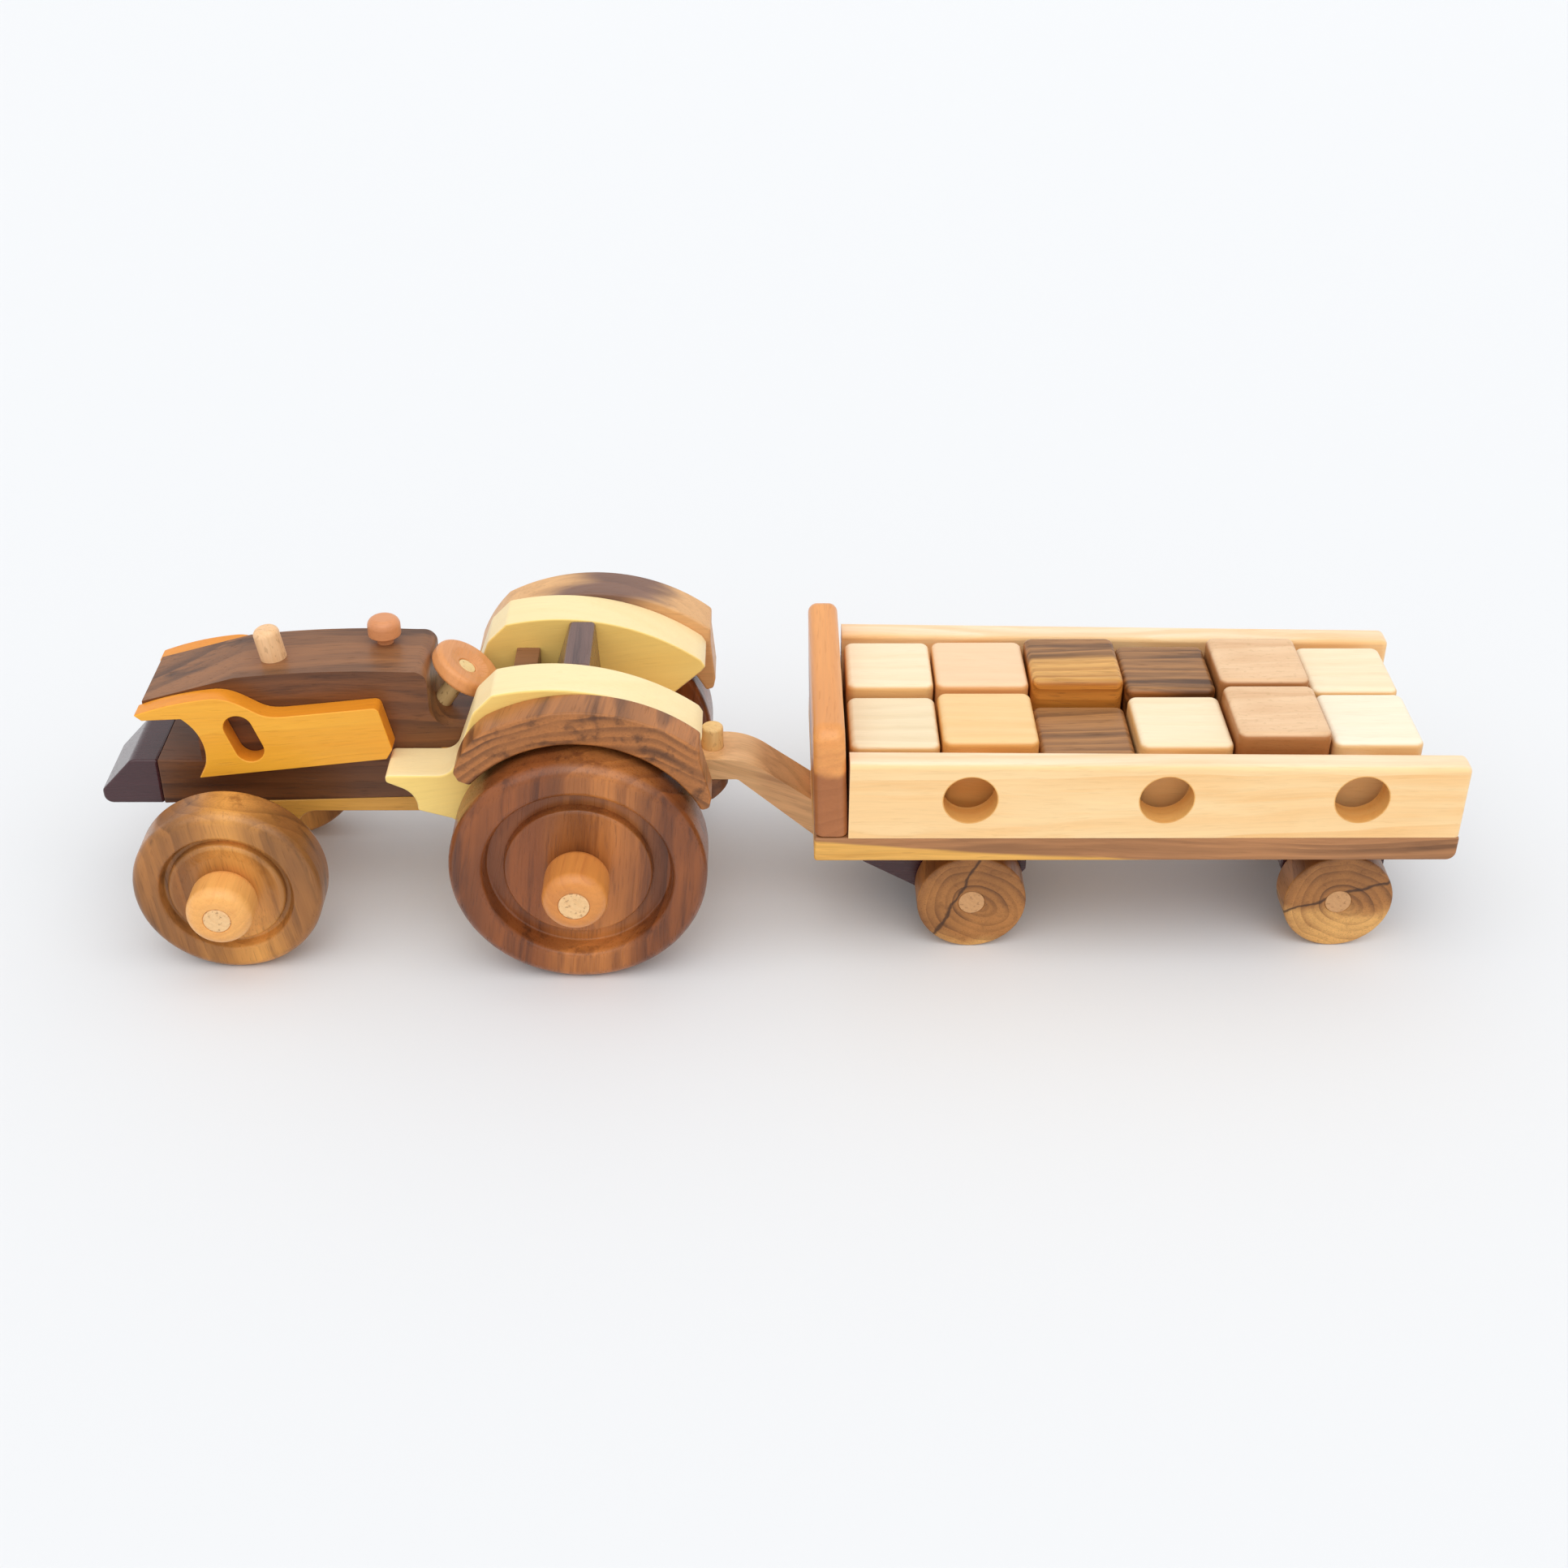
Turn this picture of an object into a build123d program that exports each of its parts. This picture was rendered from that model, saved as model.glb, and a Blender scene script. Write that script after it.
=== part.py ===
from build123d import *
import os
from math import cos, radians, sin
from types import SimpleNamespace

# Wooden toy tractor that pulls a four-wheeled trailer loaded with twelve building blocks.
# Millimetres. The tractor's nose points to -X and the trailer's tail to +X, +Z is up and the
# wheels stand on Z = 0. The tractor's left side is -Y, and XZ is the plane of symmetry.

os.makedirs("parts", exist_ok=True)

# ---- driving dimensions ---------------------------------------------------------------------
core_half = 13.8            # half width of nose, engine block, hood and chassis
core_low = 43.0             # underside of the nose block
engine_top = 59.3           # joint between engine block and hood
engine_rear = -104.0        # joint between engine block and rear core
step_top = 64.2             # top of the rear core and of the foot steps
nose_joint = -194.3         # glue joint between nose block and engine block
nose_tip = -213.5
panel_outer = 20.6          # outer face of the bonnet side panels
plate_outer = 30.5          # outer face of the yellow fender plates
fender_outers = {"left": 42.0, "right": 46.0}     # outer faces of the brown fenders
fender_tails = {"left": -21.4, "right": -19.4}    # their tail ends
fender_rises = {"left": 0.0, "right": 1.6}        # how far their backs stand higher

rear_axle_x = -59.5
rear_wheel_r = 40.0
rear_dowel_r = 4.8

front_axle_x = -170.0
front_wheel_r = 29.5
front_wheel_inner = 29.6
front_dowel_r = 4.3

running_gap = 0.08          # radial clearance of everything that turns on a dowel
face_gap = 0.35             # end clearance between a turning wheel and its neighbour

hitch_x = -18.6             # axis of the hitch peg
hitch_peg_r = 3.5
drawbar_half = 8.7
hitch_shelf_top = 48.3

deck_front = 13.5
deck_tail = 213.5
deck_half = 43.5
deck_low = 40.8
deck_top = 49.4
headboard_back = 24.0
side_thickness = 8.5
side_top = 75.1             # top of the side boards at their tail ends
side_front_tops = {"left": 76.5, "right": 77.7}   # and against the headboard
right_side_tail = 207.0     # the right side board stops short of the deck's tail
hole_r = 8.3
hole_z = 63.5
hole_places = (61.0, 121.1, 181.0)

trailer_wheel_r = 17.5
trailer_wheel_inner = 21.7
trailer_wheel_outer = 33.7
trailer_dowel_r = 4.2
axle_block_half = 21.2
trailer_axles = {"front": 64.6, "rear": 182.7}

block_columns = (24.1, 52.7, 83.2, 113.5, 143.4, 173.2, 202.0)
block_gap = 0.7
block_rows = {"left": (-31.5, -1.0), "right": (0.8, 29.8)}
block_heights = {
    "left": (25.8, 27.4, 22.2, 26.0, 30.0, 26.8),
    "right": (28.4, 28.6, 30.0, 26.9, 30.1, 26.4),
}
block_lift = 0.15           # the blocks rest this far above the deck's plane

steering_tilt = 35.0        # degrees that the column leans back from vertical
steering_centre = (-94.7, 0.0, 87.2)
steering_wheel_r = 11.3
steering_wheel_thick = 5.5
steering_dish_r = 7.0       # the wheel's top sinks from this radius to the dowel
steering_dish = 1.3
steering_dowel_r = 3.0
steering_dowel_length = 24.0


def save(piece, label):
    """Names a finished piece and writes it as one STEP file."""
    piece.part.label = label
    export_step(piece.part, f"parts/{label}.step")


def side_plane(side, inner, outer):
    """Plane from which extruding (outer - inner) fills inner..outer on that side of the toy."""
    return Plane.XZ.offset(inner) if side == "left" else Plane.XZ.offset(-outer)


def side_sign(side):
    return -1 if side == "left" else 1


def rims(builder, radius):
    """The circular edges of one radius."""
    circles = builder.edges().filter_by(GeomType.CIRCLE)
    return circles.filter_by(lambda edge: abs(edge.radius - radius) < 0.01)


def corner(outline, x, y):
    """The outline's vertex nearest to a point of its own plane."""
    return outline.vertices().sort_by_distance(Vector(x, y))[0]


# ---- tractor core ----------------------------------------------------------------------------
# Nose block: a wedge whose front slopes up to the grille opening.
with BuildPart() as nose_block:
    with BuildSketch(Plane.XZ) as nose_outline:
        with BuildLine():
            Polyline(
                (nose_joint, core_low), (nose_tip, core_low), (nose_tip, core_low + 5.0),
                (nose_joint - 8.6, engine_top), (nose_joint, engine_top), close=True,
            )
        make_face()
        fillet(corner(nose_outline, nose_tip, core_low), radius=3.0)
        fillet(corner(nose_outline, nose_tip, core_low + 5.0), radius=1.5)
        fillet(corner(nose_outline, nose_joint - 8.6, engine_top), radius=4.0)
    extrude(amount=core_half, both=True)
save(nose_block, "nose_block")

# Engine block: the long lower beam; its underside rises a little to the rear.
engine_low_rear = 45.6
with BuildPart() as engine_block:
    with BuildSketch(Plane.XZ):
        with BuildLine():
            Polyline(
                (nose_joint, core_low), (nose_joint, engine_top), (engine_rear, engine_top),
                (engine_rear, engine_low_rear), close=True,
            )
        make_face()
    extrude(amount=core_half, both=True)
save(engine_block, "engine_block")

# Hood: overhangs the nose, and is notched behind for the steering column.
hood_tip = (-195.6, 81.2)
hood_back = -106.6
hood_high = 91.5
hood_floor = 71.8
hood_floor_end = -84.0
grille_back = -180.0
grille_high = 75.5
column_axis = (sin(radians(steering_tilt)), 0, cos(radians(steering_tilt)))
column_across = (cos(radians(steering_tilt)), 0, -sin(radians(steering_tilt)))
column_plane = Plane(origin=steering_centre, x_dir=column_across, z_dir=column_axis)
exhaust_r = 4.1
exhaust_length = 21.2
exhaust_lean = radians(9)   # towards the nose
exhaust_plane = Plane(
    origin=(-153.9, -2.5, 80.0), z_dir=(-sin(exhaust_lean), 0, cos(exhaust_lean))
)
filter_x, filter_y = -121.6, 5.2
filter_neck_r, filter_head_r = 2.6, 5.2
filter_low, filter_head_low, filter_top = 84.0, 94.4, 100.4

with BuildPart() as hood:
    with BuildSketch(Plane.XZ) as hood_outline:
        with BuildLine():
            Polyline(
                (-113.0, hood_high), (hood_back, hood_high), (hood_back, hood_floor),
                (hood_floor_end, hood_floor), (hood_floor_end, step_top),
                (engine_rear, step_top), (engine_rear, engine_top), (grille_back, engine_top),
                (grille_back, grille_high), (hood_tip[0], 78.9), hood_tip, (-166.0, 89.5),
            )
            ThreePointArc((-166.0, 89.5), (-139.0, 91.6), (-113.0, hood_high))
        make_face()
        fillet(corner(hood_outline, hood_back, hood_high), radius=4.0)
        fillet(corner(hood_outline, hood_back, hood_floor), radius=7.0)
        fillet(corner(hood_outline, grille_back, grille_high), radius=4.0)
    extrude(amount=core_half, both=True)
    with BuildSketch(exhaust_plane):
        Circle(exhaust_r)
    extrude(amount=exhaust_length, mode=Mode.SUBTRACT)
    with BuildSketch(Plane.XY.offset(filter_low)):
        with Locations((filter_x, filter_y)):
            Circle(filter_neck_r)
    extrude(amount=20.0, mode=Mode.SUBTRACT)
    with BuildSketch(column_plane):
        Circle(steering_dowel_r + running_gap)
    extrude(amount=-steering_dowel_length - face_gap, mode=Mode.SUBTRACT)
save(hood, "hood")

# Chassis: a front leg that hooks behind the axle beam, a thin spine and a deep rear core.
spine_low = 39.9
beam_half = 8.0
beam_top = front_wheel_r + beam_half
beam_rear = front_axle_x + beam_half
leg_front = -182.0
leg_front_top = core_low + (engine_low_rear - core_low) * (leg_front - nose_joint) / (
    engine_rear - nose_joint
)
rear_core_end = -28.0
rear_core_low = 28.0
with BuildPart() as chassis:
    with BuildSketch(Plane.XZ) as chassis_outline:
        with BuildLine():
            Polyline(
                (leg_front, leg_front_top), (leg_front, beam_top), (beam_rear, beam_top),
                (beam_rear, 30.0), (-156.5, 30.0), (-149.5, spine_low), (-97.0, spine_low),
                (-82.0, rear_core_low), (-40.0, rear_core_low), (rear_core_end, 36.0),
                (rear_core_end, step_top), (engine_rear, step_top),
                (engine_rear, engine_low_rear), close=True,
            )
        make_face()
        fillet(corner(chassis_outline, -149.5, spine_low), radius=7.0)
        fillet(corner(chassis_outline, -97.0, spine_low), radius=8.0)
    extrude(amount=core_half, both=True)
    with BuildSketch(Plane.XZ):
        with Locations((rear_axle_x, rear_wheel_r)):
            Circle(rear_dowel_r)
    extrude(amount=core_half, both=True, mode=Mode.SUBTRACT)
save(chassis, "chassis")

# Front axle beam: holds the front axle dowel across the toy.
with BuildPart() as front_axle_beam:
    with BuildSketch(Plane.XZ):
        with Locations((front_axle_x, front_wheel_r)):
            Rectangle(2 * beam_half, 2 * beam_half)
            Circle(front_dowel_r, mode=Mode.SUBTRACT)
    extrude(amount=front_wheel_inner - 0.5, both=True)
save(front_axle_beam, "front_axle_beam")

# ---- bonnet side panels, fender plates and fenders, one of each per side ----------------------
slot_r = 4.5
slot_length = 8.0           # between the centres of the slot's round ends
slot_centre = (-163.9, 71.4)
slot_angle = -71.0
wheel_arch_r = 42.5
arch_low_angle, arch_high_angle = 26.0, 139.0


def arch_point(angle):
    """Point of the wheel arch at an angle in degrees from the tail direction."""
    return (
        rear_axle_x + wheel_arch_r * cos(radians(angle)),
        rear_wheel_r + wheel_arch_r * sin(radians(angle)),
    )


for side in ("left", "right"):
    # Bonnet side panel: a pointed horn in front, a raised hump, and a leaning oval slot.
    with BuildPart() as side_panel:
        with BuildSketch(side_plane(side, core_half, panel_outer)) as panel_outline:
            with BuildLine():
                ThreePointArc((-196.8, 79.9), (-184.0, 83.9), (-172.0, 85.9))
                Spline(
                    (-172.0, 85.9), (-165.5, 84.6), (-158.5, 80.6), (-151.0, 79.4),
                    tangents=((1, 0.05), (1, 0.05)),
                )
                Polyline(
                    (-151.0, 79.4), (-121.3, 82.6), (-118.1, 67.5), (-120.2, 63.9),
                    (-179.6, 57.0), (-177.4, 61.0),
                )
                ThreePointArc((-177.4, 61.0), (-177.6, 72.0), (-182.4, 78.6))
                Polyline((-182.4, 78.6), (-194.6, 78.0), (-196.8, 79.9))
            make_face()
            fillet(corner(panel_outline, -121.3, 82.6), radius=2.0)
            with Locations(slot_centre):
                SlotCenterToCenter(slot_length, 2 * slot_r, rotation=slot_angle, mode=Mode.SUBTRACT)
        extrude(amount=panel_outer - core_half)
    save(side_panel, f"side_panel_{side}")

    # Fender plate: the high arched plate beside the seat, with the foot step in front.
    with BuildPart() as fender_plate:
        with BuildSketch(side_plane(side, core_half, plate_outer)) as plate_outline:
            with BuildLine():
                ThreePointArc((-84.5, 93.0), (-50.0, 93.0), (-22.3, 79.9))
                Polyline(
                    (-22.3, 79.9), (-20.8, 77.4), (-22.2, 75.6), (-38.0, 61.5), (-38.0, 34.0),
                    (-48.0, 27.0), (-71.0, 27.0), (-88.0, 38.0), (-99.8, 48.1), (-110.3, 51.2),
                )
                ThreePointArc((-110.3, 51.2), (-111.4, 56.6), (-114.2, 59.2))
                Polyline(
                    (-114.2, 59.2), (-119.4, 61.6), (-119.4, step_top), (-99.0, step_top),
                    (-90.8, 86.6), (-84.5, 93.0),
                )
            make_face()
            fillet(corner(plate_outline, -99.0, step_top), radius=6.0)
            fillet(corner(plate_outline, -90.8, 86.6), radius=6.0)
            fillet(corner(plate_outline, -119.4, step_top), radius=1.2)
            fillet(corner(plate_outline, -38.0, 61.5), radius=5.0)
            with Locations((rear_axle_x, rear_wheel_r)):
                Circle(rear_dowel_r, mode=Mode.SUBTRACT)
        extrude(amount=plate_outer - core_half)
    save(fender_plate, f"fender_plate_{side}")

    # Fender: the brown arch over the rear wheel, glued to the outer face of the fender plate.
    fender_outer = fender_outers[side]
    tail = fender_tails[side]
    rise = fender_rises[side]
    with BuildPart() as fender:
        with BuildSketch(side_plane(side, plate_outer, fender_outer)) as fender_outline:
            with BuildLine():
                ThreePointArc((-96.4, 72.2), (-92.6, 80.2), (-86.4, 86.6 + rise))
                ThreePointArc((-86.4, 86.6 + rise), (-57.0, 93.8 + rise), (tail, 80.3 + rise))
                Polyline(
                    (tail, 80.3 + rise), (tail - 0.1, 76.8), (-18.1, 63.0), (-18.8, 59.4),
                    arch_point(arch_low_angle),
                )
                ThreePointArc(
                    arch_point(arch_low_angle), arch_point(90.0), arch_point(arch_high_angle)
                )
                Polyline(arch_point(arch_high_angle), (-95.0, 69.4), (-96.4, 72.2))
            make_face()
            fillet(corner(fender_outline, -95.0, 69.4), radius=1.0)
        extrude(amount=fender_outer - plate_outer)
    save(fender, f"fender_{side}")

# ---- seat, exhaust, air filter, steering ------------------------------------------------------
# Seat front block and wedge-shaped seat back, each reaching from fender plate to fender plate.
with BuildPart() as seat_front_block:
    with BuildSketch(Plane.XZ):
        with BuildLine():
            Polyline(
                (-81.4, step_top), (-73.8, step_top), (-73.8, 84.8), (-81.4, 84.8), close=True
            )
        make_face()
    extrude(amount=core_half, both=True)
save(seat_front_block, "seat_front_block")

with BuildPart() as seat_back:
    with BuildSketch(Plane.XZ) as seat_outline:
        with BuildLine():
            Polyline(
                (-73.4, step_top), (-53.9, step_top), (-55.8, 94.3), (-63.9, 94.3), close=True
            )
        make_face()
        fillet(corner(seat_outline, -55.8, 94.3), radius=1.5)
        fillet(corner(seat_outline, -63.9, 94.3), radius=1.5)
    extrude(amount=core_half, both=True)
save(seat_back, "seat_back")

# Exhaust peg and mushroom-shaped air filter knob, both set in the hood.
with BuildPart() as exhaust_peg:
    with BuildSketch(exhaust_plane):
        Circle(exhaust_r)
    extrude(amount=exhaust_length)
    fillet(rims(exhaust_peg, exhaust_r).sort_by(Axis.Z)[-1], radius=2.2)
save(exhaust_peg, "exhaust_peg")

with BuildPart() as air_filter_knob:
    with BuildSketch(Plane.XY.offset(filter_low)):
        with Locations((filter_x, filter_y)):
            Circle(filter_neck_r)
    extrude(amount=filter_head_low - filter_low)
    with BuildSketch(Plane.XY.offset(filter_head_low)):
        with Locations((filter_x, filter_y)):
            Circle(filter_head_r)
    extrude(amount=filter_top - filter_head_low)
    fillet(air_filter_knob.edges().group_by(Axis.Z)[-1], radius=2.6)
save(air_filter_knob, "air_filter_knob")

# Steering wheel glued on its column dowel; the two turn together in the hood's slanted bore.
with BuildPart() as steering_wheel:
    # Section in (distance from the column's axis, height along it).
    with BuildSketch(Plane(steering_centre, x_dir=column_across, z_dir=(0, -1, 0))) as wheel_rim:
        with BuildLine():
            Polyline(
                (steering_dowel_r, -steering_wheel_thick),
                (steering_wheel_r, -steering_wheel_thick), (steering_wheel_r, 0),
                (steering_dish_r, 0), (steering_dowel_r + 0.8, -steering_dish),
                (steering_dowel_r, -steering_dish), close=True,
            )
        make_face()
        fillet(corner(wheel_rim, steering_wheel_r, -steering_wheel_thick), radius=1.8)
        fillet(corner(wheel_rim, steering_wheel_r, 0), radius=1.8)
    revolve(axis=Axis(steering_centre, column_axis))
save(steering_wheel, "steering_wheel")

with BuildPart() as steering_column:
    with BuildSketch(column_plane.offset(-steering_dish - 0.2)):
        Circle(steering_dowel_r)
    extrude(amount=steering_dish + 0.2 - steering_dowel_length)
save(steering_column, "steering_column")

# ---- tractor axles, wheels and hub caps -------------------------------------------------------
tractor_axles = {
    "rear": SimpleNamespace(
        x=rear_axle_x, wheel_r=rear_wheel_r, inner=31.0, outer=51.0,
        dowel_r=rear_dowel_r, dowel_half=66.0,
        disc_r=22.9, disc_face=48.3, dish=0.5, lip_r=29.2, groove_floor=44.8,
        tread_round=4.2, lip_round=2.4, disc_round=1.0,
        hub_r=10.1, hub_end_round=4.4, hub_back_round=4.4,
    ),
    "front": SimpleNamespace(
        x=front_axle_x, wheel_r=front_wheel_r, inner=front_wheel_inner, outer=45.2,
        dowel_r=front_dowel_r, dowel_half=59.0,
        disc_r=18.0, disc_face=45.0, dish=1.7, lip_r=20.4, groove_floor=42.0,
        tread_round=3.6, lip_round=1.2, disc_round=1.4,
        hub_r=10.3, hub_end_round=4.6, hub_back_round=4.4,
    ),
}
dish_width = 5.5            # the disc sinks by the dish over this far inside its edge
for axle_name, axle in tractor_axles.items():
    with BuildPart() as axle_dowel:
        with BuildSketch(Plane.XZ):
            with Locations((axle.x, axle.wheel_r)):
                Circle(axle.dowel_r)
        extrude(amount=axle.dowel_half, both=True)
        fillet(rims(axle_dowel, axle.dowel_r), radius=0.5)
    save(axle_dowel, f"{axle_name}_axle")

    bore_r = axle.dowel_r + running_gap
    hub_face = axle.disc_face - axle.dish
    wheel_centre = (axle.x, 0, axle.wheel_r)
    for side in ("left", "right"):
        outward = side_sign(side)
        # Section of the wheel, in (radius, distance from the plane of symmetry).
        section_plane = Plane(wheel_centre, x_dir=(1, 0, 0), z_dir=(0, 0, -outward))
        with BuildPart() as wheel:
            with BuildSketch(section_plane) as wheel_section:
                with BuildLine():
                    Polyline(
                        (bore_r, axle.inner), (axle.wheel_r, axle.inner),
                        (axle.wheel_r, axle.outer), (axle.lip_r + 0.6, axle.outer),
                        (axle.lip_r - 0.6, axle.groove_floor),
                        (axle.disc_r + 0.4, axle.groove_floor), (axle.disc_r, axle.disc_face),
                        (axle.disc_r - dish_width, hub_face), (bore_r, hub_face), close=True,
                    )
                make_face()
                fillet(corner(wheel_section, axle.wheel_r, axle.inner), radius=2.0)
                fillet(corner(wheel_section, axle.wheel_r, axle.outer), radius=axle.tread_round)
                fillet(corner(wheel_section, axle.lip_r + 0.6, axle.outer), radius=axle.lip_round)
                fillet(corner(wheel_section, axle.disc_r, axle.disc_face), radius=axle.disc_round)
                fillet(corner(wheel_section, axle.lip_r - 0.6, axle.groove_floor), radius=0.8)
            revolve(axis=Axis(wheel_centre, (0, 1, 0)))
        save(wheel, f"{axle_name}_wheel_{side}")

        # Hub cap glued on the dowel's end; it keeps the free-turning wheel on.
        hub_plane = Plane(wheel_centre, x_dir=(1, 0, 0), z_dir=(0, outward, 0))
        with BuildPart() as hub_cap:
            with BuildSketch(hub_plane.offset(hub_face + face_gap)):
                Circle(axle.hub_r)
                Circle(axle.dowel_r, mode=Mode.SUBTRACT)
            extrude(amount=axle.dowel_half - hub_face - face_gap)
            hub_rims = rims(hub_cap, axle.hub_r).sort_by(Axis((0, 0, 0), (0, outward, 0)))
            fillet(hub_rims[-1], radius=axle.hub_end_round)
            fillet(hub_rims[0], radius=axle.hub_back_round)
        save(hub_cap, f"{axle_name}_hub_cap_{side}")

# ---- hitch ------------------------------------------------------------------------------------
# Hitch block: a shelf behind the rear core that carries the drawbar's eye.
hitch_shelf_end = -13.6
with BuildPart() as hitch_block:
    with BuildSketch(Plane.XZ):
        with BuildLine():
            Polyline(
                (rear_core_end, hitch_shelf_top), (hitch_shelf_end, hitch_shelf_top),
                (hitch_shelf_end, 44.6), (-18.5, 41.0), (rear_core_end, 37.5), close=True,
            )
        make_face()
    extrude(amount=drawbar_half, both=True)
    fillet(hitch_block.edges().filter_by(Axis.Z).group_by(Axis.X)[-1], radius=5.5)
    with BuildSketch(Plane.XY.offset(hitch_shelf_top)):
        with Locations((hitch_x, 0)):
            Circle(hitch_peg_r)
    extrude(amount=-6.0, mode=Mode.SUBTRACT)
save(hitch_block, "hitch_block")

with BuildPart() as hitch_peg:
    with BuildSketch(Plane.XY.offset(hitch_shelf_top - 6.0)):
        with Locations((hitch_x, 0)):
            Circle(hitch_peg_r)
    extrude(amount=21.4)
    fillet(hitch_peg.edges().group_by(Axis.Z)[-1], radius=1.0)
save(hitch_peg, "hitch_peg")

# Drawbar: a bowed board that drops from the hitch peg to the underside of the deck.
drawbar_eye_top = 56.0
drawbar_eye_low = hitch_shelf_top + 0.3
drawbar_front = hitch_x - drawbar_half
drawbar_end = 30.0
with BuildPart() as drawbar:
    with BuildSketch(Plane.XZ) as drawbar_outline:
        with BuildLine():
            Polyline(
                (drawbar_front, drawbar_eye_low), (drawbar_front, drawbar_eye_top),
                (-7.5, drawbar_eye_top), (13.3, deck_low), (drawbar_end, deck_low),
                (drawbar_end, 21.5), (20.5, 21.5), (-10.5, drawbar_eye_low), close=True,
            )
        make_face()
        fillet(corner(drawbar_outline, -7.5, drawbar_eye_top), radius=22.0)
        fillet(corner(drawbar_outline, -10.5, drawbar_eye_low), radius=2.0)
        fillet(corner(drawbar_outline, 20.5, 21.5), radius=8.0)
    extrude(amount=drawbar_half, both=True)
    eye_edges = drawbar.edges().filter_by(Axis.Z).group_by(Axis.X)[0]
    fillet(eye_edges, radius=drawbar_half - 0.1)
    with BuildSketch(Plane.XY.offset(drawbar_eye_low - 1.0)):
        with Locations((hitch_x, 0)):
            Circle(hitch_peg_r + running_gap)
    extrude(amount=12.0, mode=Mode.SUBTRACT)
save(drawbar, "drawbar")

# ---- trailer ----------------------------------------------------------------------------------
with BuildPart() as deck:
    with BuildSketch(Plane.XZ) as deck_outline:
        with BuildLine():
            Polyline(
                (deck_front, deck_low), (deck_tail, deck_low), (deck_tail, deck_top),
                (deck_front, deck_top), close=True,
            )
        make_face()
        fillet(corner(deck_outline, deck_tail, deck_low), radius=3.0)
        fillet(corner(deck_outline, deck_front, deck_low), radius=1.0)
    extrude(amount=deck_half, both=True)
save(deck, "deck")

# Headboard: leans forward a little and thins towards its rounded top.
headboard_top = 87.6
with BuildPart() as headboard:
    with BuildSketch(Plane.XZ):
        with BuildLine():
            Polyline(
                (deck_front, deck_top), (headboard_back, deck_top),
                (headboard_back - 1.7, headboard_top), (deck_front - 0.8, headboard_top),
                close=True,
            )
        make_face()
    extrude(amount=deck_half, both=True)
    fillet(headboard.edges().filter_by(Axis.X).group_by(Axis.Z)[-1], radius=7.0)
    broad_faces = headboard.faces().filter_by(lambda face: abs(face.normal_at().X) > 0.9)
    upper_edges = broad_faces.edges().filter_by_position(Axis.Z, deck_top + 0.5, headboard_top + 1)
    fillet(upper_edges, radius=3.0)
save(headboard, "headboard")

side_tails = {"left": deck_tail, "right": right_side_tail}
holed_length = hole_places[-1] - hole_places[0]
for side, side_tail in side_tails.items():
    with BuildPart() as trailer_side:
        with BuildSketch(side_plane(side, deck_half - side_thickness, deck_half)) as side_outline:
            with BuildLine():
                Polyline(
                    (headboard_back, deck_top), (side_tail, deck_top), (side_tail, side_top),
                    (headboard_back, side_front_tops[side]), close=True,
                )
            make_face()
            fillet(corner(side_outline, side_tail, side_top), radius=2.5)
            with Locations(*[(hole_x, hole_z) for hole_x in hole_places]):
                Circle(hole_r, mode=Mode.SUBTRACT)
        extrude(amount=side_thickness)
        long_edges = trailer_side.edges().filter_by(lambda edge: edge.length > holed_length)
        fillet(long_edges.sort_by(Axis.Z)[-2:], radius=2.0)
    save(trailer_side, f"trailer_side_{side}")

# Axle blocks under the deck; the wheel axles turn in their bores.
axle_block_low = trailer_wheel_r - 8.0
axle_block_outlines = {
    "front": (
        (drawbar_end, deck_low), (drawbar_end, 25.0), (45.4, 16.3), (56.5, axle_block_low),
        (74.0, axle_block_low), (83.0, 22.0), (83.0, deck_low),
    ),
    "rear": (
        (166.0, deck_low), (166.0, 22.0), (174.5, axle_block_low),
        (191.0, axle_block_low), (199.5, 22.0), (199.5, deck_low),
    ),
}
for axle_name, outline in axle_block_outlines.items():
    axle_x = trailer_axles[axle_name]
    with BuildPart() as axle_block:
        with BuildSketch(Plane.XZ):
            with BuildLine():
                Polyline(*outline, close=True)
            make_face()
            with Locations((axle_x, trailer_wheel_r)):
                Circle(trailer_dowel_r + running_gap, mode=Mode.SUBTRACT)
        extrude(amount=axle_block_half, both=True)
    save(axle_block, f"trailer_{axle_name}_axle_block")

    with BuildPart() as trailer_axle:
        with BuildSketch(Plane.XZ):
            with Locations((axle_x, trailer_wheel_r)):
                Circle(trailer_dowel_r)
        extrude(amount=trailer_wheel_outer, both=True)
    save(trailer_axle, f"trailer_{axle_name}_axle")

    for side in ("left", "right"):
        with BuildPart() as trailer_wheel:
            with BuildSketch(side_plane(side, trailer_wheel_inner, trailer_wheel_outer)):
                with Locations((axle_x, trailer_wheel_r)):
                    Circle(trailer_wheel_r)
                    Circle(trailer_dowel_r, mode=Mode.SUBTRACT)
            extrude(amount=trailer_wheel_outer - trailer_wheel_inner)
            fillet(rims(trailer_wheel, trailer_wheel_r), radius=0.9)
        save(trailer_wheel, f"trailer_{axle_name}_wheel_{side}")

# ---- building blocks --------------------------------------------------------------------------
block_corner = 3.0          # radius of the upright edges
block_round = 2.0           # radius of the top and bottom edges
for side, (row_low, row_high) in block_rows.items():
    for column, height in enumerate(block_heights[side]):
        x_low = block_columns[column] + block_gap / 2
        x_high = block_columns[column + 1] - block_gap / 2
        with BuildPart() as block:
            with BuildSketch(Plane.XY.offset(deck_top + block_lift)):
                with Locations(((x_low + x_high) / 2, (row_low + row_high) / 2)):
                    Rectangle(x_high - x_low, row_high - row_low)
            extrude(amount=height)
            fillet(block.edges().filter_by(Axis.Z), radius=block_corner)
            level_edges = block.edges().group_by(Axis.Z)
            fillet(level_edges[0] + level_edges[-1], radius=block_round)
        save(block, f"block_{side}_{column + 1}")
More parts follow.
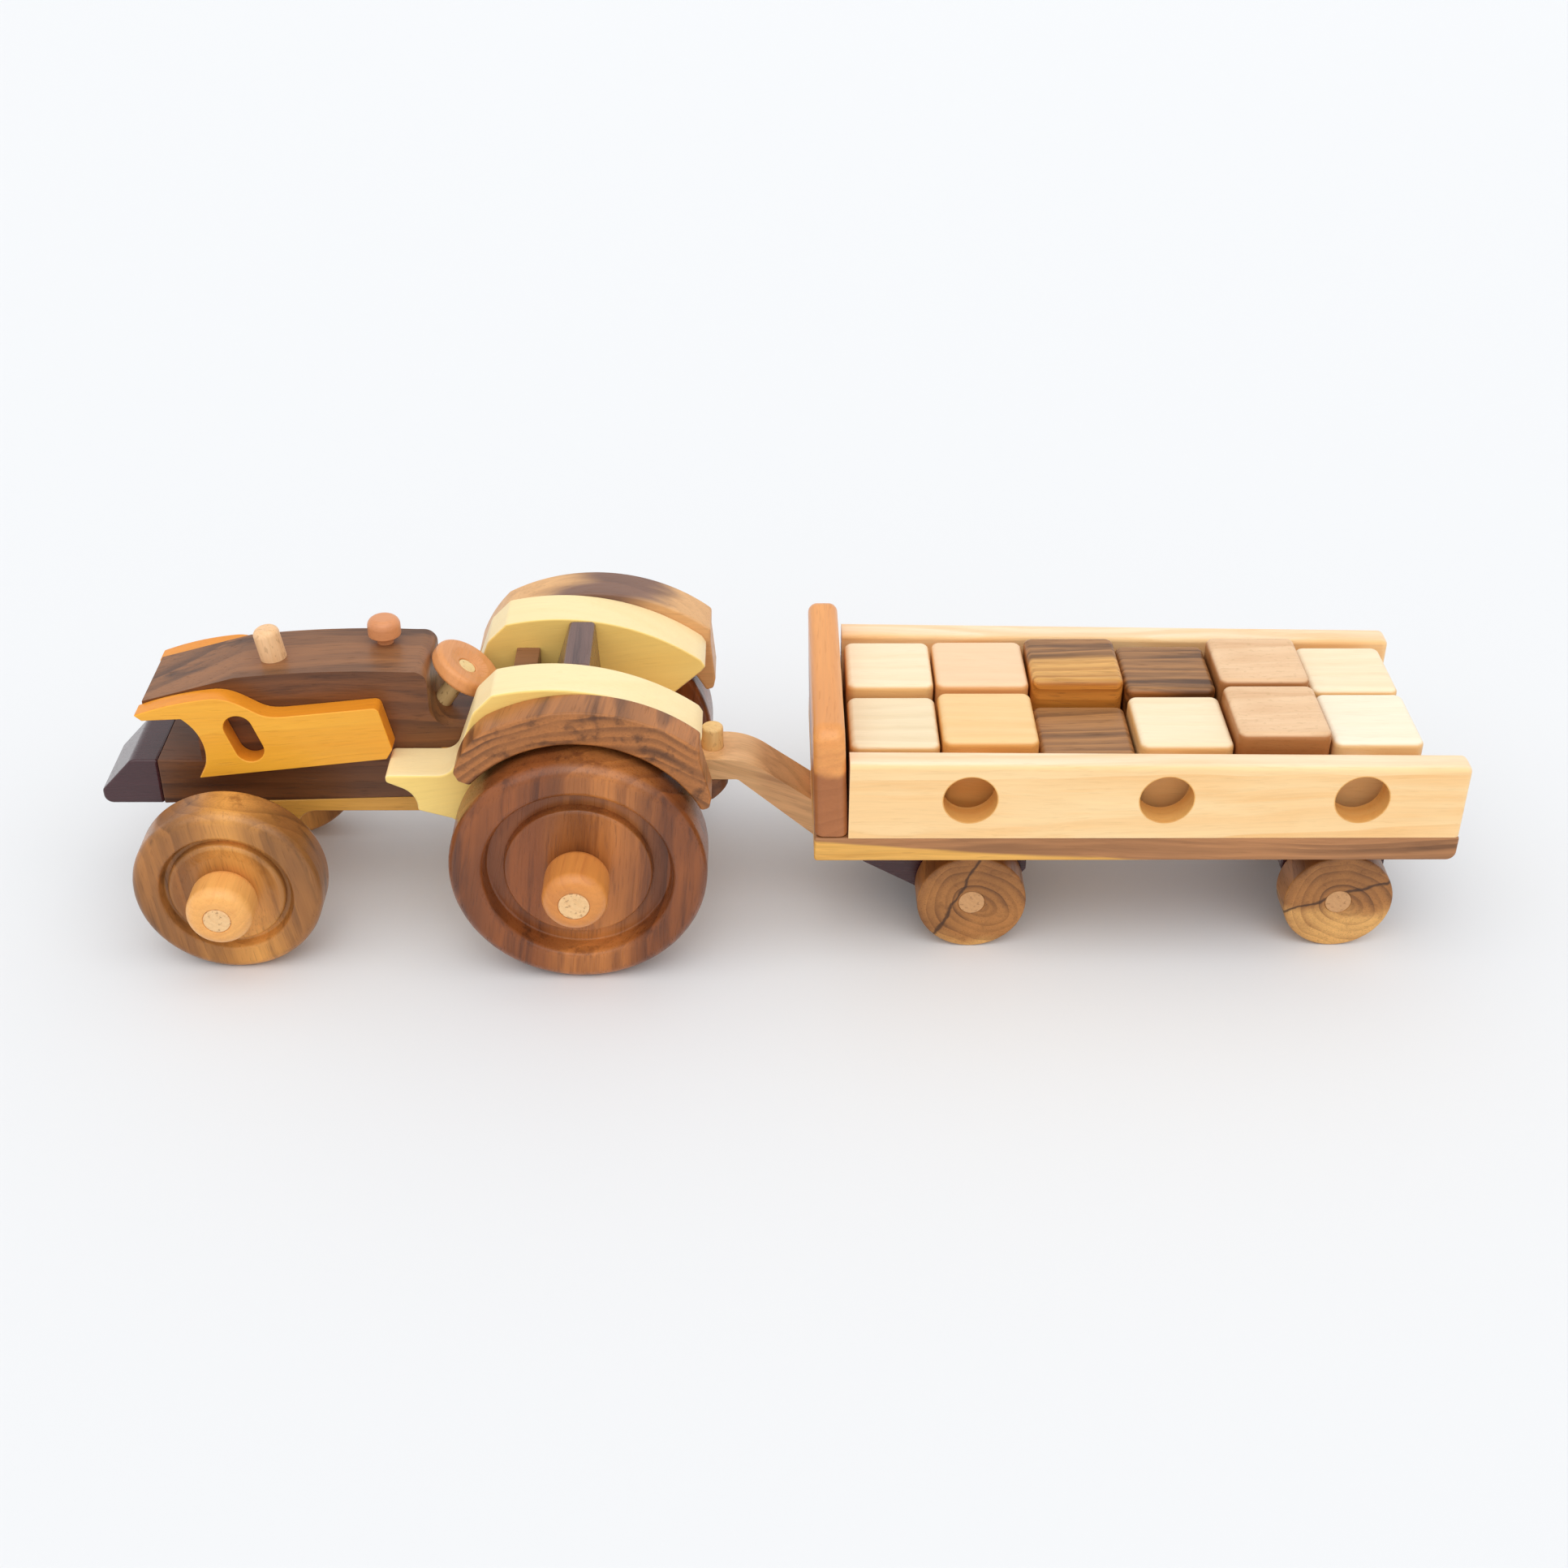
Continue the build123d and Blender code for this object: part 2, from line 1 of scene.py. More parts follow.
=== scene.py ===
from math import cos, radians, sin

import bpy
from mathutils import Matrix, Vector


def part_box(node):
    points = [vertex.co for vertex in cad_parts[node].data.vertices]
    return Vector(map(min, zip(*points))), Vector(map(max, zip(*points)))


# Wooden toy tractor with a trailer of building blocks. Every shape is the CAD part's own; this
# script rounds its sharp edges, gives each piece its wood, and sets up the light and camera.
# Metres, +Z up, the tractor's nose at -X. Colours are linear RGB.

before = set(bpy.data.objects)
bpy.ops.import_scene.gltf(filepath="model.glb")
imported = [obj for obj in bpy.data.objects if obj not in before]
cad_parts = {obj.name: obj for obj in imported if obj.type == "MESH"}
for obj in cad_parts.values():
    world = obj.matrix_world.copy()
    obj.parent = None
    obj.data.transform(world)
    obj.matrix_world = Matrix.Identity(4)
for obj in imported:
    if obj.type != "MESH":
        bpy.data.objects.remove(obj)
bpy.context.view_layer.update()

X, Y, Z = Vector((1, 0, 0)), Vector((0, 1, 0)), Vector((0, 0, 1))
MM = 0.001


# ---- edges ------------------------------------------------------------------------------------
def soften(piece, width):
    """Rounds a piece's sharp edges, as sanding does, and shades its curved faces smoothly."""
    weld = piece.modifiers.new("weld", "WELD")
    weld.merge_threshold = 0.002 * MM
    flat = piece.modifiers.new("flat faces", "DECIMATE")
    flat.decimate_type = "DISSOLVE"
    flat.angle_limit = radians(0.4)
    bevel = piece.modifiers.new("sanded edges", "BEVEL")
    bevel.width = width
    bevel.segments = 3
    bevel.limit_method = "ANGLE"
    bevel.angle_limit = radians(32)
    shading = piece.modifiers.new("shading", "WEIGHTED_NORMAL")
    shading.mode = "FACE_AREA"
    shading.weight = 60
    for polygon in piece.data.polygons:
        polygon.use_smooth = True


# ---- wood -------------------------------------------------------------------------------------
class Nodes:
    """One material's node tree. Values given to a socket are numbers, colours or other sockets."""

    def __init__(self, name):
        self.material = bpy.data.materials.new(name)
        self.material.use_nodes = True
        self.tree = self.material.node_tree
        self.tree.nodes.clear()

    def add(self, kind, inputs=None, **settings):
        node = self.tree.nodes.new(kind)
        for key, value in settings.items():
            setattr(node, key, value)
        for key, value in (inputs or {}).items():
            self.put(node.inputs[key], value)
        return node

    def put(self, socket, value):
        if isinstance(value, bpy.types.NodeSocket):
            self.tree.links.new(value, socket)
        elif socket.type == "RGBA" and len(value) == 3:
            socket.default_value = (*value, 1.0)
        else:
            socket.default_value = value

    def math(self, operation, *values, clamp=False):
        inputs = dict(enumerate(values))
        return self.add("ShaderNodeMath", inputs, operation=operation, use_clamp=clamp).outputs[0]

    def vector(self, operation, *values):
        inputs = dict(enumerate(values))
        return self.add("ShaderNodeVectorMath", inputs, operation=operation)

    def step(self, value, zero_at, one_at):
        """Smooth change from 0 at one value to 1 at another, which may be the lower one."""
        node = self.add(
            "ShaderNodeMapRange",
            {"Value": value, "From Min": zero_at, "From Max": one_at},
            interpolation_type="SMOOTHSTEP",
        )
        return node.outputs[0]

    def mix(self, factor, first, second, blend="MIX"):
        factor_in, first_in, second_in, colour_out = 0, 6, 7, 2
        node = self.add("ShaderNodeMix", data_type="RGBA", blend_type=blend)
        self.put(node.inputs[factor_in], factor)
        self.put(node.inputs[first_in], first)
        self.put(node.inputs[second_in], second)
        return node.outputs[colour_out]

    def noise(self, vector, scale, detail=2.0, roughness=0.5):
        inputs = {"Vector": vector, "Scale": scale, "Detail": detail, "Roughness": roughness}
        return self.add("ShaderNodeTexNoise", inputs)

    def figure(self, vector, along, scale, detail, roughness=0.5):
        """Noise drawn out along the fibres, which run along Z; along is below 1 for long marks."""
        drawn_out = self.vector("MULTIPLY", vector, (1.0, 1.0, along)).outputs[0]
        return self.noise(drawn_out, scale, detail, roughness)

    def distance(self, place, point, direction):
        """How far a place lies from a point, measured along a direction."""
        away = self.vector("SUBTRACT", place, point).outputs[0]
        return self.vector("DOT_PRODUCT", away, direction).outputs["Value"]


# Scales of noise, in waves per metre.
FINGER_WIDTH = 34.0
HAND_WIDTH = 11.0

# What a wood has unless its kind or its piece says otherwise.
WOOD = {
    "light": (0.6, 0.4, 0.2),      # early wood
    "dark": (0.3, 0.15, 0.06),     # late wood
    "pore": (0.10, 0.05, 0.02),    # pores, flecks and the dark figure line
    "ring": 3.2 * MM,              # spacing of the growth rings
    "rings": 0.5,                  # how strongly the rings show
    "veins": 0.3,                  # long dark streaks
    "fibre": 0.25,                 # fine brightness change along the fibres
    "pores": 0.3,                  # how strongly the pores show
    "flecks": 0.0,                 # short dark ray flecks
    "warp": 3.0 * MM,              # how far the rings wander over a finger's width
    "sweep": 5.0 * MM,             # how far the rings wander over a hand's width
    "clouds": 0.35,                # broad change of tone
    "roughness": 0.42,             # of the surface, at its middle value
    "coat": 0.10,                  # weight of the oil's shine
    "heart": None,                 # second colours beyond a plane or within a band: heartwood, and painted shade on some pieces
    "crack": None,                 # dark figure line: (point, direction across it)
    "rim": None,                   # (direction, tint): faces not looking along it are tinted, mostly as painted light
    "bores": None,                 # (centres, radius, tint): painted shade on the walls of holes along Y
}


def wander(n, local, looks):
    """The place, moved as a tree's rings wander: more slowly along the fibres than across."""
    bent = local
    for scale, reach in ((FINGER_WIDTH, looks["warp"]), (HAND_WIDTH, looks["sweep"])):
        shift = n.figure(local, along=0.30, scale=scale, detail=2.0).outputs["Color"]
        shift = n.vector("SUBTRACT", shift, (0.5, 0.5, 0.5)).outputs[0]
        # Noise keeps near its middle value, so it is widened to use its whole reach.
        widened = 2.4 * reach
        shift = n.vector("MULTIPLY", shift, (widened, widened, 0.0)).outputs[0]
        bent = n.vector("ADD", bent, shift).outputs[0]
    return bent


def growth_rings(n, local, bent, spacing):
    """
    How much late wood there is. Each ring darkens slowly and ends sharply, and no two rings are
    equally wide or strong.
    """
    across = n.vector("MULTIPLY", bent, (1.0, 1.0, 0.0)).outputs[0]
    radius = n.vector("LENGTH", across).outputs["Value"]
    years = n.math("DIVIDE", radius, spacing)
    year_line = n.add("ShaderNodeCombineXYZ", {"X": years}).outputs[0]
    uneven = n.noise(year_line, scale=0.9, detail=2.0).outputs[0]
    phase = n.math("FRACT", n.math("ADD", years, n.math("MULTIPLY", uneven, 1.6)))
    late = n.math("MULTIPLY", n.step(phase, 0.10, 0.85), n.step(phase, 1.0, 0.88))
    strong = n.step(n.noise(year_line, scale=0.55, detail=1.0).outputs[0], 0.34, 0.66)
    patchy = n.step(n.figure(local, along=0.3, scale=55.0, detail=2.0).outputs[0], 0.30, 0.60)
    faintest = 0.2
    both = n.math("MULTIPLY", strong, patchy)
    share = n.math("MULTIPLY_ADD", both, 1.0 - faintest, faintest)
    return n.math("MULTIPLY", late, share)


def heartwood(n, place, local, heart, light, dark):
    """
    The light and dark colours, changed beyond a plane or within a band: heartwood on most pieces,
    and painted shade on the hood and the drawbar.

    The zone has a point and a direction, which give its plane, the colours light and dark, soft for
    half the width of its border, wobble for how far the border wanders, and band for half its
    width where it is a band around the plane.
    """
    depth = n.distance(place, heart["point"], heart["direction"])
    wobble = n.figure(local, along=0.2, scale=60.0, detail=3.0).outputs[0]
    wobble = n.math("MULTIPLY", n.math("SUBTRACT", wobble, 0.5), heart["wobble"])
    depth = n.math("ADD", depth, wobble)
    if "band" in heart:
        depth = n.math("SUBTRACT", heart["band"], n.math("ABSOLUTE", depth))
    inside = n.step(depth, -heart["soft"], heart["soft"])
    return n.mix(inside, light, heart["light"]), n.mix(inside, dark, heart["dark"])


def cracked(n, place, colour, crack, dark):
    """The colour with a jagged dark line along the plane through a point, across a direction."""
    jag_reach, line_edge, line_core, strength = 7.0 * MM, 0.9 * MM, 0.15 * MM, 0.85
    off = n.distance(place, *crack)
    jag = n.math("SUBTRACT", n.noise(place, scale=110.0, detail=3.0).outputs[0], 0.5)
    off = n.math("ABSOLUTE", n.math("MULTIPLY_ADD", jag, jag_reach, off))
    line = n.math("MULTIPLY", n.step(off, line_edge, line_core), strength)
    return n.mix(line, colour, dark)


def rimmed(n, colour, broad, tint):
    """
    The colour, tinted on faces that don't look along the direction broad. Mostly this is painted
    light: paler tops as painted sheen, and darker block sides as painted shade. On the side panels
    it is only a darker tone of the edges.
    """
    flat = n.add("ShaderNodeTexCoord").outputs["Normal"]
    flat = n.math("ABSOLUTE", n.vector("DOT_PRODUCT", flat, broad).outputs["Value"])
    return n.mix(n.step(flat, 0.85, 0.35), colour, n.mix(1.0, colour, tint, "MULTIPLY"))


def shaded_bores(n, place, colour, centres, radius, tint):
    """The colour, darker on the walls of holes along Y: painted shade inside the holes."""
    shaded_wall = n.mix(1.0, colour, tint, "MULTIPLY")
    for centre in centres:
        off = n.vector("MULTIPLY", n.vector("SUBTRACT", place, centre).outputs[0], X + Z)
        off = n.vector("LENGTH", off.outputs[0]).outputs["Value"]
        wall = n.step(off, radius + 0.5 * MM, radius + 0.1 * MM)
        colour = n.mix(wall, colour, shaded_wall)
    return colour


def worn(n, colour, fibre, pale):
    """The colour, paler where the surface turns sharply within about a millimetre."""
    bent_normal = n.add("ShaderNodeBevel", {"Radius": 0.9 * MM}, samples=3).outputs[0]
    true_normal = n.add("ShaderNodeNewGeometry").outputs["Normal"]
    facing = n.vector("DOT_PRODUCT", bent_normal, true_normal).outputs["Value"]
    edge = n.math("MULTIPLY", n.step(facing, 0.995, 0.90), n.step(fibre, 0.30, 0.60))
    strength = 0.30
    return n.mix(n.math("MULTIPLY", edge, strength), colour, pale)


def wood(name, grain, pith, **looks):
    """A piece of wood. grain is the fibres' direction and pith a point of the rings' centre line."""
    looks = {**WOOD, **looks}
    n = Nodes(name)
    place = n.add("ShaderNodeTexCoord").outputs["Object"]
    centred = n.vector("SUBTRACT", place, pith).outputs[0]
    turn = grain.rotation_difference(Z).to_euler()
    local = n.add(
        "ShaderNodeVectorRotate", {"Vector": centred, "Rotation": turn}, rotation_type="EULER_XYZ"
    ).outputs[0]
    bent = wander(n, local, looks)
    ring = growth_rings(n, local, bent, looks["ring"])

    # Marks that run with the fibres, and broad clouds.
    fibre = n.figure(bent, along=0.025, scale=1300.0, detail=3.0, roughness=0.6).outputs[0]
    vein = n.figure(bent, along=0.06, scale=190.0, detail=4.0, roughness=0.6).outputs[0]
    vein = n.step(vein, 0.50, 0.72)
    pore = n.figure(bent, along=0.05, scale=2300.0, detail=1.0).outputs[0]
    pore = n.step(pore, 0.60, 0.72)
    cloud = n.figure(local, along=0.35, scale=42.0, detail=3.0).outputs[0]
    cloud = n.step(cloud, 0.30, 0.70)

    light, dark = looks["light"], looks["dark"]
    if looks["heart"]:
        light, dark = heartwood(n, place, local, looks["heart"], light, dark)
    middle = n.mix(0.5, light, dark)
    colour = n.mix(n.math("MULTIPLY", cloud, looks["clouds"]), light, middle)
    colour = n.mix(n.math("MULTIPLY", ring, looks["rings"]), colour, dark)
    colour = n.mix(n.math("MULTIPLY", vein, looks["veins"]), colour, dark)
    tone = n.math("MULTIPLY_ADD", fibre, 2 * looks["fibre"], 1.0 - looks["fibre"])
    colour = n.vector("SCALE", colour).outputs[0]
    n.put(colour.node.inputs["Scale"], tone)
    colour = n.mix(n.math("MULTIPLY", pore, looks["pores"]), colour, looks["pore"])
    if looks["flecks"]:
        rays = n.figure(local, along=0.5, scale=900.0, detail=2.0).outputs[0]
        rays = n.math("MULTIPLY", n.step(rays, 0.58, 0.68), looks["flecks"])
        colour = n.mix(rays, colour, looks["pore"])
    if looks["crack"]:
        colour = cracked(n, place, colour, looks["crack"], looks["pore"])
    if looks["rim"]:
        colour = rimmed(n, colour, *looks["rim"])
    if looks["bores"]:
        colour = shaded_bores(n, place, colour, *looks["bores"])
    colour = worn(n, colour, fibre, light)

    # The fibres vary the roughness about its middle value, and pores are rougher and sunken.
    change = 0.22
    grit = n.math("MULTIPLY_ADD", fibre, change, looks["roughness"] - change / 2)
    rough = n.math("MULTIPLY_ADD", pore, 0.15, grit, clamp=True)
    relief = n.math("MULTIPLY_ADD", ring, -0.35, n.math("MULTIPLY", fibre, 0.5))
    relief = n.math("MULTIPLY_ADD", pore, -0.8, relief)
    bump = n.add("ShaderNodeBump", {"Strength": 0.35, "Distance": 0.10 * MM, "Height": relief})
    shader = n.add("ShaderNodeBsdfPrincipled", {
        "Base Color": colour,
        "Roughness": rough,
        "Specular IOR Level": 0.32,
        "Coat Weight": looks["coat"],
        "Coat Roughness": 0.22,
        "Normal": bump.outputs[0],
    })
    n.add("ShaderNodeOutputMaterial", {"Surface": shader.outputs[0]})
    return n.material


# Kinds of wood, by colour and figure.
MAPLE = dict(light=(0.97, 0.68, 0.35), dark=(0.88, 0.47, 0.16), pore=(0.50, 0.27, 0.10), rings=0.65,
             veins=0.45, fibre=0.09, pores=0.10, ring=4.0 * MM, warp=4.0 * MM, sweep=8.0 * MM,
             clouds=0.6)
CREAM = dict(light=(0.95, 0.79, 0.55), dark=(0.86, 0.60, 0.32), pore=(0.52, 0.32, 0.14), rings=0.30,
             veins=0.12, fibre=0.07, pores=0.10, ring=4.5 * MM, clouds=0.5)
PLATE = dict(light=(0.97, 0.70, 0.22), dark=(0.90, 0.56, 0.13), pore=(0.60, 0.35, 0.08), rings=0.22,
             veins=0.10, fibre=0.06, pores=0.06, ring=6.0 * MM, clouds=0.6)
GOLDEN = dict(light=(0.92, 0.44, 0.040), dark=(0.76, 0.27, 0.012), pore=(0.42, 0.15, 0.01),
              rings=0.40, veins=0.25, fibre=0.10, pores=0.15, ring=6.0 * MM, clouds=0.7, roughness=0.34)
WALNUT = dict(light=(0.26, 0.092, 0.030), dark=(0.045, 0.017, 0.009), pore=(0.03, 0.012, 0.006),
              rings=0.75, veins=0.75, fibre=0.26, pores=0.30, ring=5.0 * MM, warp=4.0 * MM,
              roughness=0.40, coat=0.12)
PURPLE = dict(light=(0.062, 0.020, 0.025), dark=(0.030, 0.010, 0.013), pore=(0.02, 0.008, 0.008),
              rings=0.3, veins=0.3, fibre=0.2, pores=0.25, ring=4.0 * MM, roughness=0.26, coat=0.45)
FIGURED = dict(light=(0.48, 0.180, 0.050), dark=(0.085, 0.033, 0.015), pore=(0.04, 0.015, 0.008),
               rings=0.90, veins=0.75, fibre=0.24, pores=0.22, ring=3.2 * MM, warp=3.5 * MM,
               roughness=0.38, coat=0.12)
TAN = dict(light=(0.72, 0.40, 0.17), dark=(0.48, 0.21, 0.075), pore=(0.22, 0.09, 0.03), rings=0.45,
           veins=0.40, fibre=0.14, pores=0.20, ring=4.4 * MM, warp=4.0 * MM)
RED = dict(light=(0.31, 0.090, 0.022), dark=(0.065, 0.020, 0.010), pore=(0.06, 0.02, 0.010),
           rings=0.70, veins=0.75, fibre=0.22, pores=0.25, ring=5.0 * MM, warp=3.0 * MM,
           roughness=0.30, coat=0.25, clouds=0.9)
TEAK = dict(light=(0.42, 0.170, 0.044), dark=(0.10, 0.042, 0.015), pore=(0.09, 0.033, 0.012),
            rings=0.70, veins=0.75, fibre=0.22, pores=0.25, ring=4.6 * MM, warp=3.5 * MM,
            roughness=0.34, coat=0.18, clouds=0.8)
ORANGE = dict(light=(0.84, 0.37, 0.11), dark=(0.62, 0.22, 0.05), pore=(0.34, 0.11, 0.03),
              rings=0.35, veins=0.25, fibre=0.10, pores=0.15, ring=2.6 * MM, roughness=0.34, coat=0.25)
BEECH = dict(light=(0.88, 0.58, 0.29), dark=(0.72, 0.38, 0.15), pore=(0.36, 0.17, 0.07), rings=0.3,
             veins=0.2, fibre=0.12, pores=0.12, flecks=0.6, ring=1.8 * MM)
RINGED = dict(light=(0.47, 0.195, 0.052), dark=(0.11, 0.040, 0.014), pore=(0.05, 0.02, 0.010),
              rings=0.85, veins=0.35, fibre=0.20, pores=0.30, ring=2.8 * MM, warp=3.4 * MM,
              clouds=0.7)


def at(node, across=(0.5, 0.5, 0.5), shift=(0, 0, 0)):
    """A point of a node's box, given by shares of its sides, moved by a shift in millimetres."""
    low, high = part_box(node)
    inside = Vector(share * side for share, side in zip(across, high - low))
    return low + inside + MM * Vector(shift)


def paint(node, grain, shift, kind, width=0.5 * MM, **changes):
    """Gives a node its wood; shift places the rings' centre, in millimetres from its middle."""
    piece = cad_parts[node]
    material = wood(f"{node}_wood", grain.normalized(), at(node, shift=shift), **{**kind, **changes})
    piece.data.materials.clear()
    piece.data.materials.append(material)
    soften(piece, width)


SIDES = {"left": -1, "right": 1}

# The tractor's body.
paint("nose_block", X + 0.1 * Z, (0, 30, -25), PURPLE, 0.9 * MM)
paint("engine_block", X + 0.03 * Z, (0, 8, -45), WALNUT, light=(0.17, 0.062, 0.020))
# The hood's rear end is darker, as painted shade by the column's notch, and its top and ends are paler,
# as painted sheen.
rear_shade = dict(point=at("hood", (0.90, 0.5, 0.5)), direction=X, soft=9 * MM, wobble=50 * MM,
                light=(0.105, 0.040, 0.018), dark=(0.035, 0.015, 0.010))
paint("hood", X + 0.05 * Z, (10, 25, -35), WALNUT, 0.9 * MM, light=(0.20, 0.073, 0.025),
      rings=0.85, veins=0.85, dark=(0.045, 0.018, 0.010), rim=(Y, (1.55, 1.78, 2.0)),
      heart=rear_shade)
paint("chassis", X, (0, 12, -60), TAN, light=(0.70, 0.35, 0.065), dark=(0.56, 0.25, 0.035))
paint("front_axle_beam", Y, (10, 0, 22), TAN)
for side, sign in SIDES.items():
    paint(f"side_panel_{side}", X + 0.08 * Z, (0, 40 * sign, -20), GOLDEN, 0.7 * MM,
          rim=(Y, (0.92, 0.70, 0.55)))
    # The plates' top and end faces are paler: painted sheen.
    paint(f"fender_plate_{side}", X + 0.15 * Z, (0, 70 * sign, -30), PLATE, 0.9 * MM,
          rim=(Y, (1.0, 1.13, 2.05)))
paint("fender_left", Y + 0.15 * X, (6, 0, -62), FIGURED, 0.8 * MM)
dark_figure = dict(point=at("fender_right", (0.56, 0.5, 0.9)), direction=X, band=14 * MM,
                   soft=7 * MM, wobble=45 * MM, light=(0.24, 0.125, 0.085), dark=(0.07, 0.035, 0.03))
paint("fender_right", X, (0, 30, -30), TAN, 0.8 * MM, heart=dark_figure,
      light=(0.78, 0.44, 0.19), dark=(0.52, 0.25, 0.10))
paint("seat_front_block", X, (0, 10, -20), FIGURED, light=(0.30, 0.13, 0.06))
paint("seat_back", Y, (6, 0, -20), PURPLE, 0.7 * MM, light=(0.16, 0.078, 0.060), pores=0.1,
      fibre=0.2, veins=0.6)

# Small turned pieces.
paint("exhaust_peg", Z - 0.15 * X, (3, 2, 0), BEECH, light=(0.90, 0.56, 0.30), flecks=0.35)
paint("air_filter_knob", X, (0, 9, -8), ORANGE, light=(0.74, 0.31, 0.13), dark=(0.48, 0.16, 0.05))
paint("steering_wheel", Y, (12, 0, -6), ORANGE, light=(0.76, 0.33, 0.12))
paint("steering_column", Vector((sin(radians(35)), 0, cos(radians(35)))), (2, 2, 0), BEECH,
      light=(0.90, 0.68, 0.32), dark=(0.72, 0.42, 0.15))
paint("hitch_peg", Z, (4, 3, 0), BEECH, light=(0.90, 0.60, 0.24), flecks=0.3)
for axle in ("front_axle", "rear_axle"):
    paint(axle, Y, (6, 0, 3), BEECH, 0.3 * MM)
    paint(f"trailer_{axle}", Y, (6, 0, 3), BEECH, 0.3 * MM, light=(0.66, 0.36, 0.16),
          dark=(0.46, 0.22, 0.08))

# Wheels. The tractor's show long grain on their faces, and the trailer's are slices of a branch,
# so that they show its rings and a crack.
for side, sign in SIDES.items():
    ruddy = dict(point=at(f"rear_wheel_{side}", (0.58, 0.5, 0.5)), direction=X - 0.15 * Z,
                 band=11 * MM, soft=10 * MM, wobble=26 * MM, light=(0.62, 0.225, 0.055),
                 dark=(0.20, 0.06, 0.018))
    paint(f"rear_wheel_{side}", Z + 0.12 * X, (-12, 26 * sign, 0), RED, 0.5 * MM, heart=ruddy)
    paint(f"rear_hub_cap_{side}", Y, (9, 0, 12), ORANGE, light=(0.70, 0.27, 0.060),
          dark=(0.45, 0.13, 0.03))
    honeyed = dict(point=at(f"front_wheel_{side}", (0.56, 0.5, 0.5)), direction=X, band=9 * MM,
                   soft=8 * MM, wobble=20 * MM, light=(0.78, 0.36, 0.085), dark=(0.34, 0.13, 0.030))
    paint(f"front_wheel_{side}", Z - 0.15 * X, (10, 20 * sign, 0), TEAK, 0.5 * MM, heart=honeyed)
    paint(f"front_hub_cap_{side}", Y, (-8, 0, 11), ORANGE, light=(0.88, 0.43, 0.12))
    # A crack's tilt in radians, how far it runs from the middle, and where the wood turns golden.
    for axle, tilt, offset, golden_height in (("front", 0.45, 5 * MM, 0.08),
                                              ("rear", 1.22, 2.5 * MM, 0.4)):
        wheel = f"trailer_{axle}_wheel_{side}"
        across = Vector((cos(tilt), 0, -sin(tilt)))
        crack = (at(wheel) - offset * across, across)
        golden = dict(point=at(wheel, (0.5, 0.5, golden_height)), direction=-Z, soft=3 * MM,
                      wobble=16 * MM, light=(0.78, 0.42, 0.13), dark=(0.34, 0.14, 0.04))
        paint(wheel, Y, (3, 0, 2 * sign), RINGED, 0.5 * MM, crack=crack, heart=golden)

# Hitch and trailer.
paint("hitch_block", X, (0, 14, -12), WALNUT)
# The drawbar's end under the deck is darker: painted shadow of the deck.
deck_shadow = dict(point=at("drawbar", (0.42, 0.5, 0.8)), direction=X, soft=4 * MM, wobble=10 * MM,
             light=(0.78, 0.43, 0.19), dark=(0.30, 0.13, 0.05))
paint("drawbar", X - 0.3 * Z, (0, 18, -28), TAN, 0.7 * MM, heart=deck_shadow,
      light=(0.84, 0.50, 0.23), dark=(0.52, 0.25, 0.09))
brown_top = dict(point=at("deck", (0.24, 0.0, 0.43)), direction=0.075 * X + Z, soft=0.7 * MM,
                 wobble=6 * MM, light=(0.46, 0.205, 0.080), dark=(0.13, 0.052, 0.020))
paint("deck", X, (0, 10, -60), TAN, 0.8 * MM, heart=brown_top, ring=2.6 * MM, rings=0.8,
      veins=0.9, fibre=0.25, light=(0.82, 0.44, 0.10), dark=(0.60, 0.28, 0.05))
brown_foot = dict(point=at("headboard", (0.5, 0.0, 0.58)), direction=-Z, soft=1.5 * MM,
                  wobble=9 * MM, light=(0.42, 0.145, 0.045), dark=(0.28, 0.090, 0.025))
paint("headboard", Y, (18, 0, -50), ORANGE, 1.2 * MM, light=(0.82, 0.35, 0.10),
      dark=(0.60, 0.21, 0.06), ring=4.0 * MM, heart=brown_foot)
finger_hole_height = 63.5 * MM
finger_hole_radius = 8.3 * MM
finger_holes = [Vector((x * MM, 0, finger_hole_height)) for x in (61.0, 121.1, 181.0)]
for side, sign in SIDES.items():
    # The boards' top and end faces are paler, as painted sheen, and the finger holes' walls are darker,
    # as painted shade.
    paint(f"trailer_side_{side}", X + 0.02 * Z, (0, 40 * sign, -30), MAPLE, 0.9 * MM,
          rim=(Y, (1.0, 1.10, 1.45)),
          bores=(finger_holes, finger_hole_radius, (0.80, 0.58, 0.26)))
for axle in ("front", "rear"):
    paint(f"trailer_{axle}_axle_block", X, (0, 24, -20), PURPLE)

# Building blocks, in two rows; the near row is the left one.
PEACH = {**CREAM, "light": (0.93, 0.66, 0.42), "dark": (0.82, 0.48, 0.24)}
SPECKLED = {**CREAM, "light": (0.88, 0.60, 0.36), "dark": (0.58, 0.29, 0.12), "flecks": 0.25,
            "veins": 0.4, "clouds": 1.0}
HONEY = {**CREAM, "light": (0.92, 0.64, 0.32), "dark": (0.80, 0.44, 0.14), "rings": 0.5}
GREYISH = {**CREAM, "light": (0.90, 0.74, 0.50), "dark": (0.72, 0.55, 0.30), "rings": 0.45}
WHITE = {**CREAM, "light": (0.95, 0.84, 0.65), "dark": (0.88, 0.70, 0.45), "rings": 0.2}
STREAKED = {**WALNUT, "light": (0.43, 0.200, 0.070), "dark": (0.06, 0.026, 0.015),
            "ring": 2.8 * MM, "rings": 0.85, "warp": 2.5 * MM, "sweep": 2.5 * MM}
blocks = {
    "right": (CREAM, PEACH, STREAKED, STREAKED, SPECKLED, CREAM),
    "left": (GREYISH, HONEY, STREAKED, CREAM, SPECKLED, WHITE),
}
